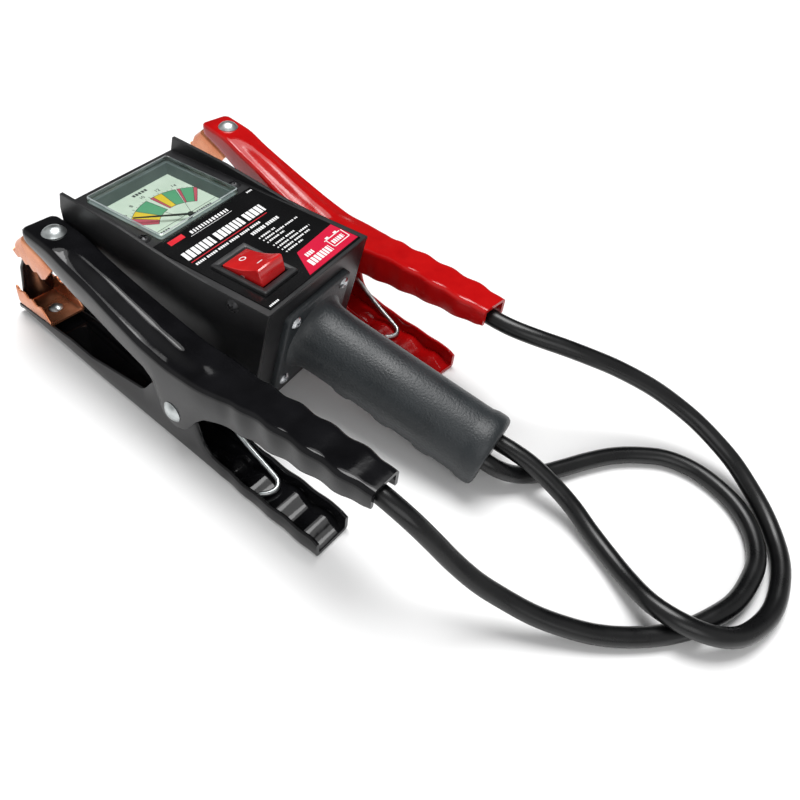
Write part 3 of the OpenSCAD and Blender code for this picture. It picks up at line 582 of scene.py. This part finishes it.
# Copper jaws: the cap's roof (s, z) and the two ends of its edge, the tray's floor and its front lip.
# The tray's walls ramp up steeply at the rear, then rise slowly to the front.
JAW_HALF, JAW_T = 10.2, 1.2
JAW_TOP = [(87.2, 56.9), (95, 59.7), (112.3, 63.9), (120.9, 56.6), (124.2, 49.4)]
JAW_EDGE = ((97.4, 44.4), (124.5, 48.6))
CAP_CORNER, CAP_TEETH = 3.4, 0.95
TRAY = ((104.5, 8.95), (133.9, 6.6))
TRAY_LIP = [(134.4, 6.9), (134.68, 7.6), (134.7, 9), (134.7, 10.9)]
LIP_WALL = (134.2, 19.3)
TRAY_CORNER, TRAY_TEETH = 2.6, 0.8
WALL_Z, WALL_RISE = 16, 3.2
REAR_WALL, REAR_RAMP = 2, 34
TEETH = 4

# Finger waves of both grips: their pitch, the place of one crest, and how far they move each face
WAVE_GAP, WAVE_AT = 17.6, -43
UPPER_WAVES_FROM, LOWER_WAVES_FROM, WAVES_END = -30, -24, -111
WAVE_FADE_IN, WAVE_FADE_OUT = 10, 8
TOP_WAVE, SIDE_WAVE, LOW_SIDE_WAVE, LOW_FLOOR_WAVE = 0.12, 0.5, 0.25, 0.8
LOW_FLOOR_EXTRA = 0.9

# Torsion spring: a coil round the pivot, a bent lower leg and a straight upper leg
COIL_R, COIL_HALF, COIL_TURNS, COIL_POINTS = 7.5, 6.6, 4.5, 90
WIRE_R = 1.3
LOWER_LEG = [(-6, -50, 3.7), (-2, -52.6, 3.6), (2, -53, 3.6), (4.6, -51, 3.9), (5.4, -47.6, 4.9),
             (6, -30, 10.6), (COIL_HALF, -14, PIVOT_Z - COIL_R - 1)]
UPPER_LEG = [(-COIL_HALF, -14, PIVOT_Z + COIL_R + 1.5), (-3, -50, 51.4)]


def grip_wave(s, start):
    """Soft waves of the finger grips, between -1 and 1, from start backwards."""
    fade = min(1, max(0, (start - s) / WAVE_FADE_IN), max(0, (s - WAVES_END) / WAVE_FADE_OUT))
    return fade * math.cos(2 * math.pi * (s - WAVE_AT) / WAVE_GAP)


def teeth(u):
    """Wavy biting edge, between -1 and 1, with u from 0 to 1 along the jaw."""
    return math.cos(2 * math.pi * TEETH * u)


def upper_shell():
    """Upper arm: a channel, its rounded nose and the tongue."""
    top_of, edge_of = smoothed(TOP, 3), smoothed(EDGE, 0.8)
    half_of, hump_of = smoothed(HALF, 4), smoothed(HUMP, 3)
    rings = []
    for s in UPPER_STOPS:
        wave = grip_wave(s, UPPER_WAVES_FROM)
        rings.append(channel_ring((s, top_of(s) + TOP_WAVE * wave), (s, edge_of(s)),
                                  half_of(s) + SIDE_WAVE * wave, PVC_T, UPPER_CORNER, hump_of(s)))
    rings += [channel_ring(top, low, half, PVC_T, NOSE_CORNER) for top, low, half in NOSE]
    shape = Shape()
    shape.loft(rings)
    across = BEAK_SIDE + [(-x, k) for x, k in BEAK_SIDE[::-1]]
    rings = []
    for front, back in BEAK:
        front, back = np.array(front), np.array(back)
        rings.append([(x, *(front + (back - front) * k)) for x, k in across])
    shape.loft(rings)
    return shape


def lower_shell():
    """Lower arm: a channel open upwards, and the lip across its front."""
    edge_of, base_of, half_of = smoothed(LOW_EDGE, 1.2), smoothed(LOW_BASE, 4), smoothed(LOW_HALF, 4)
    rings = []
    for s in LOWER_STOPS:
        wave = grip_wave(s, LOWER_WAVES_FROM)
        rings.append(channel_ring((s, base_of(s)), (s, edge_of(s)), half_of(s) + LOW_SIDE_WAVE * wave, PVC_T,
                                  LOWER_CORNER, inner=LOW_FLOOR_EXTRA + LOW_FLOOR_WAVE * wave))
    shape = Shape()
    shape.loft(rings)
    shape.box(*FRONT_LIP)
    return shape


def between(ends, u):
    """Point at u from 0 to 1 between two (s, z) ends."""
    return [a + u * (b - a) for a, b in zip(*ends)]


def jaw_cap():
    """Copper cap of the upper jaw, with wavy walls."""
    roof = np.array(JAW_TOP, float)
    reach = run_along(roof)
    rings = []
    for u in np.linspace(0, 1, 60):
        at = u ** 0.85 * reach[-1]
        s, z = between(JAW_EDGE, u)
        rings.append(channel_ring([np.interp(at, reach, roof[:, k]) for k in (0, 1)],
                                  (s, z + CAP_TEETH * teeth(u)), JAW_HALF, JAW_T, CAP_CORNER))
    shape = Shape()
    shape.loft(rings)
    return shape


def jaw_tray():
    """Copper tray of the lower jaw: walls that rise from the rear into a wavy edge, and a front lip."""
    rings = []
    for u in np.linspace(0, 1, 50):
        s, ground = between(TRAY, u)
        wall = min(WALL_Z + WALL_RISE * u + TRAY_TEETH * teeth(u), ground + REAR_WALL + REAR_RAMP * u)
        rings.append(channel_ring((s, ground), (s, wall), JAW_HALF, JAW_T, TRAY_CORNER))
    rings += [channel_ring(lip, LIP_WALL, JAW_HALF, JAW_T, TRAY_CORNER) for lip in TRAY_LIP]
    shape = Shape()
    shape.loft(rings)
    return shape


def spring_wire():
    """Torsion spring as one round wire."""
    coil = []
    for i in range(COIL_POINTS + 1):
        q = 2 * math.pi * COIL_TURNS * i / COIL_POINTS
        coil.append((COIL_HALF - 2 * COIL_HALF * i / COIL_POINTS, COIL_R * math.sin(q),
                     PIVOT_Z - COIL_R * math.cos(q)))
    shape = Shape()
    shape.loft(tube_rings(curve_points(LOWER_LEG + coil + UPPER_LEG, 1.2), WIRE_R, 12))
    return shape


def clamp_place(name):
    (x, y), turn = CLAMPS[name]
    return Matrix.Translation((x * MM, y * MM, 0)) @ Matrix.Rotation(-math.radians(turn), 4, "Z")


upper, lower, cap, tray, spring = upper_shell(), lower_shell(), jaw_cap(), jaw_tray(), spring_wire()
for c in CLAMPS:
    at = clamp_place(c)
    pvc = "pvc_" + c
    build(c + "_upper_shell", upper, [LOOKS[pvc]], c + "_upper", [c + "_upper_arm"], 50, at)
    build(c + "_lower_shell", lower, [LOOKS[pvc]], "root", [c + "_lower_arm"], 50, at)
    build(c + "_jaw_top", cap, [LOOKS["copper"]], c + "_upper", [c + "_upper_jaw"], 50, at)
    build(c + "_jaw_base", tray, [LOOKS["copper"]], "root", [c + "_lower_jaw"], 50, at)
    wire = build(c + "_spring_wire", spring, [LOOKS["zinc"]], None, [c + "_spring"], 60, at)
    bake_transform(wire)

# ---- handle: t runs along it from the housing's rear wall ----

GRIP_FRAME = (Matrix.Translation((0, (REAR_Y + (FACE_Z - GRIP_Z) * math.tan(LEAN)) * MM, GRIP_Z * MM))
              @ Matrix.Rotation(math.pi / 2 + LEAN, 4, "X"))
# Radius against t: the flared root, the plain grip, and the end's collar turned in to the bore
ROOT = [(2.8, 21.8), (3.4, 21), (4.2, 20.1), (5.4, 19.2), (7.2, 18.5), (10, 18), (14, 17.75)]
GRIP = [(t, GRIP_R) for t in np.arange(18, 97, 1.5)]
COLLAR = [(98, 17.7), (99.5, 18.1), (101, 18.45), (104, 18.5), (106, 18.3), (107.2, 17.6), (107.8, 16.6),
          (108, 15.4), (107.9, 14.3), (107.2, 13.7), (104, 13.6)]
# Finger ridges on the underside: where they are, how high and how long
RIDGES, RIDGE_HIGH, RIDGE_HALF = (33, 57, 80), 1.9, 4.4
# Flange against the housing: half width and half height, and (inset, corner, t) of each loop
FLANGE_W, FLANGE_H = 25, 27
FLANGE = ((0, 5, 0), (0, 5, 2.2), (0.3, 5, 2.8), (1, 4.6, 3.2))


def handle_body():
    """Round handle with finger ridges below, and its square flange."""
    rings = []
    for t, r in ROOT + GRIP + COLLAR:
        ridge = sum(RIDGE_HIGH * math.exp(-((t - at) / RIDGE_HALF) ** 6) for at in RIDGES)
        ring = []
        for q in np.linspace(0, 2 * math.pi, 72, endpoint=False):
            below = max(0, -math.sin(q)) ** 1.5
            full = r + ridge * below if r == GRIP_R else r
            ring.append((full * math.cos(q), full * math.sin(q), t))
        rings.append(ring)
    shape = Shape()
    shape.loft(rings, caps=False)
    shape.loft([rounded_rect(inset - FLANGE_W, inset - FLANGE_H, FLANGE_W - inset, FLANGE_H - inset, r, t)
                for inset, r, t in FLANGE])
    return shape


build("handle_body", handle_body(), [LOOKS["handle_plastic"]], "root", ["handle_grip"], 40,
      GRIP_FRAME)

# ---- meter ----

LID_TOP = 78
INK_LOW, INK_TOP = DIAL_Z + 0.02, DIAL_Z + 0.06
BAND_LOW, BAND_HIGH = DIAL_BAND
# Stretches of coloured band in degrees, the scale's ticks, and each number with its place on the scale
BAND_RUNS = ((-48, -6), (-1, 26), (27.5, 47))
TICKS, TICK_FROM, TICK_STEP = 21, -47, 4.7
TICK_FOOT, SHORT_TICK, LONG_TICK = 0.6, 1.3, 2.2
NUMERALS = ((4, -47), (6, -33), (8, -19), (10, -4), (12, 12), (14, 27), (16, 43))
NUMERAL_SIZE, NUMERAL_LIFT = 3.2, 3
# Bars in place of the dial's words: (x, y, count) of a row, and each bar's pitch, width and height
WORD_ROWS = ((-19, 16.6, 4), (4.5, 16.6, 8))
WORD_PITCH, WORD_W, WORD_H = 1.6, 1.1, 2


def meter_cover():
    """Clear lid: a rim with a painted grey edge highlight, the clear top, clear walls and a foot on the face
    with the same painted highlight.
    """
    x0, y0, x1, y1 = METER

    def loop(inset, r, z):
        return rounded_rect(x0 + inset, y0 + inset, x1 - inset, y1 - inset, r, z)

    shape = Shape()
    shape.loft([loop(0.9, 1.2, LID_TOP), loop(0.25, 1.6, LID_TOP - 0.3)], pick=1, caps=False)
    shape.add(loop(0.9, 1.2, LID_TOP), [tuple(range(RECT_POINTS))])
    shape.loft([loop(0, 1.8, FACE_Z + 0.05), loop(0, 1.8, LID_TOP - 0.8), loop(0.25, 1.6, LID_TOP - 0.3)],
               caps=False)
    shape.loft([loop(0.1, 1.8, FACE_Z + 0.1), loop(1.3, 1.2, FACE_Z + 0.1)], pick=1, caps=False)
    return shape


def dial_point(r, degrees):
    q = math.radians(degrees)
    return DIAL_CENTRE[0] + r * math.sin(q), DIAL_CENTRE[1] + r * math.cos(q)


def dial_arc(marks, r, a, b, wide):
    line = np.linspace(a, b, max(2, int(abs(b - a) / 2)))
    outer = [dial_point(r + wide, q) for q in line]
    inner = [dial_point(r, q) for q in line[::-1]]
    marks.patch(outer + inner, INK_LOW, INK_TOP)


def dial_line(marks, r0, r1, degrees, wide):
    (ax, ay), (bx, by) = dial_point(r0, degrees), dial_point(r1, degrees)
    n = Vector((by - ay, ax - bx)).normalized() * wide / 2
    marks.patch([(ax - n.x, ay - n.y), (bx - n.x, by - n.y), (bx + n.x, by + n.y), (ax + n.x, ay + n.y)],
                INK_LOW, INK_TOP)


def dial_bar(marks, x0, y0, x1, y1):
    marks.patch([(x0, y0), (x1, y0), (x1, y1), (x0, y1)], INK_LOW, INK_TOP)


def dial_marks():
    """Outlines of the coloured bands, the scale, a level rule, two spokes and bars in place of words."""
    marks = Shape()
    for a, b in BAND_RUNS:
        dial_arc(marks, BAND_HIGH, a, b, 0.25)
        dial_arc(marks, BAND_LOW - 0.25, a, b, 0.25)
    for at, colour in BAND_STOPS[1:]:
        dial_line(marks, BAND_LOW, BAND_HIGH, DIAL_SPREAD * (2 * at - 1), 0.22)
    for i in range(TICKS):
        tip = LONG_TICK if i % 5 == 0 else SHORT_TICK
        dial_line(marks, BAND_HIGH + TICK_FOOT, BAND_HIGH + tip, TICK_FROM + TICK_STEP * i, 0.2)
    dial_bar(marks, -22, 19.9, 22, 20.15)
    for degrees in (27, -14):
        dial_line(marks, 8.2, BAND_LOW, degrees, 0.22)
    for x, y, count in WORD_ROWS:
        for k in range(count):
            left = x + WORD_PITCH * k
            dial_bar(marks, left, y, left + WORD_W, y + WORD_H)
    for k in range(5):
        dial_bar(marks, -5 + 2 * k, 51, -3.6 + 2 * k, 53)
    return marks


def numeral(value, degrees):
    """Printed number above the scale, as a plain mesh."""
    name = f"numeral_{value}"
    text = bpy.data.curves.new("numeral", "FONT")
    text.body = str(value)
    text.size = NUMERAL_SIZE * MM
    text.align_x = "CENTER"
    text.extrude = 0.02 * MM
    ob = bpy.data.objects.new(name, text)
    bpy.context.scene.collection.objects.link(ob)
    x, y = dial_point(BAND_HIGH + NUMERAL_LIFT, degrees)
    ob.matrix_world = (Matrix.Translation((x * MM, y * MM, INK_TOP * MM))
                       @ Matrix.Rotation(-math.radians(degrees * 0.6), 4, "Z"))
    bpy.context.view_layer.update()
    me = bpy.data.meshes.new_from_object(ob.evaluated_get(bpy.context.evaluated_depsgraph_get()))
    me.transform(ob.matrix_world)
    me.materials.clear()
    me.materials.append(PRINT_DARK)
    bpy.data.objects.remove(ob)
    solid = bpy.data.objects.new(name, me)
    bpy.context.scene.collection.objects.link(solid)
    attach(solid, "root")


build("meter_cover", meter_cover(), [LOOKS["clear_cover"], RIM_HIGHLIGHT], "root", ["meter_window"], 30)
build("dial_marks", dial_marks(), [PRINT_DARK], "root")
for value, degrees in NUMERALS:
    numeral(value, degrees)

# ---- switch ----

SWITCH_X, SWITCH_Y = SWITCH
# The bezel from its outer foot over its rim into the opening: half width, half length, corner and z
BEZEL_W, BEZEL_L = BEZEL[0] / 2, BEZEL[1] / 2
SWITCH_FLOOR = (8.7, 12.6, 0.3, 63)
BEZEL_LOOPS = [(BEZEL_W, BEZEL_L, 0.8, 75.52), (BEZEL_W, BEZEL_L, 0.8, 77),
               (BEZEL_W - 0.5, BEZEL_L - 0.5, 0.6, 77.5), (9.6, 13.6, 0.5, 77.5), (9.1, 13.1, 0.4, 77.2),
               (8.7, 12.6, 0.3, 76.6), SWITCH_FLOOR]
# The key's outline from the side, as (y, z) from its axis, and its rounded ends as (x, inset)
PROFILE = [(9.6, -5), (11.5, -1.5), (12.05, 0.6), (12.0, 1.25), (11.5, 1.6), (6, 2.75), (0.8, 4.3), (-4, 6.2),
           (-7.6, 8.0), (-8.6, 8.4), (-9.4, 8.2), (-9.9, 7.4), (-11.1, 3.2), (-11.7, 0.6), (-9, -5)]
KEY_ENDS = ((-8.3, 0.55), (-8.05, 0.2), (-7.7, 0), (7.7, 0), (8.05, 0.2), (8.3, 0.55))
KEY_TOP = sorted(PROFILE[4:10])


def switch_frame():
    """Bezel and the dark well under the key."""
    def loop(half_w, half_l, r, z):
        return rounded_rect(SWITCH_X - half_w, SWITCH_Y - half_l, SWITCH_X + half_w, SWITCH_Y + half_l, r, z)

    shape = Shape()
    shape.loft([loop(*one) for one in BEZEL_LOOPS], caps=False)
    shape.add(loop(*SWITCH_FLOOR), [tuple(range(RECT_POINTS))])
    return shape


def rocker_key():
    """Key with one raised end, its outline drawn in a little at both sides."""
    rings = []
    for x, inset in KEY_ENDS:
        ring = []
        for y, z in PROFILE:
            reach = math.hypot(y, z - 1)
            k = (reach - inset) / reach
            ring.append((SWITCH_X + x, SWITCH_Y + y * k, ROCKER_Z + 1 + (z - 1) * k))
        rings.append(ring)
    shape = Shape()
    shape.loft(rings)
    return shape


def on_key(x, y, lift):
    """Point on the key's top, raised by lift."""
    z = float(np.interp(y, [p[0] for p in KEY_TOP], [p[1] for p in KEY_TOP]))
    return SWITCH_X + x, SWITCH_Y + y, ROCKER_Z + z + lift


def rocker_signs():
    """Off ring and on bar, printed on the key."""
    shape = Shape()
    rings = []
    for q in np.linspace(0, 2 * math.pi, 33)[:-1]:
        rings.append([on_key(r * 1.25 * math.cos(q), 7 + r * math.sin(q), lift)
                      for r, lift in ((1.05, 0.0), (1.05, 0.07), (1.5, 0.07), (1.5, 0.0))])
    shape.loft(rings + [rings[0]], caps=False)
    shape.loft([[on_key(x, y, lift) for x, lift in ((-1.7, 0), (-1.7, 0.12), (1.7, 0.12), (1.7, 0))]
                for y in (-3.5, -2.9)])
    return shape


build("switch_frame", switch_frame(), [LOOKS["switch_black"]], "root", ["switch_body"], 30)
build("rocker_key", rocker_key(), [LOOKS["rocker_red"]], "rocker", ["switch_rocker"], 28)
build("rocker_signs", rocker_signs(), [PRINT_WHITE], "rocker")

# ---- label print: plain bars only ----

SLANT = 0.16
WHITE_INK, RED_INK = 0, 1
rng = np.random.default_rng(7)
prints = Shape()


def bar(x, y, wide, high, z, ink=WHITE_INK):
    """Printed bar that leans a little, like an italic line."""
    k = SLANT * high
    prints.patch([(x, y), (x + wide, y), (x + wide + k, y + high), (x + k, y + high)],
                 z + 0.01, z + 0.05, ink)


def row(x, end, y, high, z, letter, gap, word):
    """Line of short bars from x to end, each about letter wide, with a wider gap after each word."""
    count = 0
    while x < end:
        wide = letter * float(rng.uniform(0.75, 1.2))
        bar(x, y, min(wide, end - x + 0.1), high, z)
        count += 1
        x += wide + gap * (3 if count % word == 0 else 1)


# Title line, with the smaller line above it and its rule
row(-31.5, 24, -13, 6.2, LABEL_TOP, 2.1, 0.75, 7)
row(-15, 12, 0.6, 2.4, LABEL_TOP, 1.1, 0.9, 30)
bar(-17, -0.7, 29, 0.25, LABEL_TOP)

# Red bar beside it, and the red rule and small line under the title
bar(-28.5, 1, 9.5, 3.4, LABEL_TOP, RED_INK)
bar(-32, -15.1, 54, 0.45, LABEL_TOP, RED_INK)
row(-31.5, 14, -18.2, 1.5, LABEL_TOP, 1.0, 0.4, 5)

# Heading and its list, each line with a square point
row(2.5, 22.5, -22.6, 2.2, LABEL_TOP, 1.1, 0.45, 7)
for y, end in ((-26.8, 14), (-29.4, 29), (-32, 15), (-35.6, 19), (-38.2, 27), (-40.8, 24), (-43.4, 15)):
    bar(2.2, y, 0.8, 0.8, LABEL_TOP)
    row(4, end, y, 1.05, LABEL_TOP, 1.0, 0.4, 5)

# Two small marks by the label's corners
row(29.4, 33.6, 4.2, 1.1, LABEL_TOP, 0.8, 0.3, 9)
row(-33.6, -27.6, -62.6, 1.0, LABEL_TOP, 0.8, 0.3, 9)

# Badge: two lines, and a plain battery outline with a line in it
row(5.2, 10.6, -53.6, 2.6, BADGE_TOP, 1.1, 0.45, 9)
row(1.6, 18, -59.6, 4.6, BADGE_TOP, 1.7, 0.65, 9)
for x, y, wide, high in ((20, -58.8, 12.4, 0.5), (20, -52.6, 12.4, 0.5), (20, -58.8, 0.5, 6.5),
                         (32.2, -58.8, 0.5, 6.5), (22, -52.3, 2.2, 1.5), (28.6, -52.3, 2.2, 1.5)):
    bar(x, y, wide, high, BADGE_TOP)
row(22, 30.5, -57.2, 2.8, BADGE_TOP, 1.1, 0.5, 9)
build("label_print", prints, [PRINT_WHITE, PRINT_RED], "root")
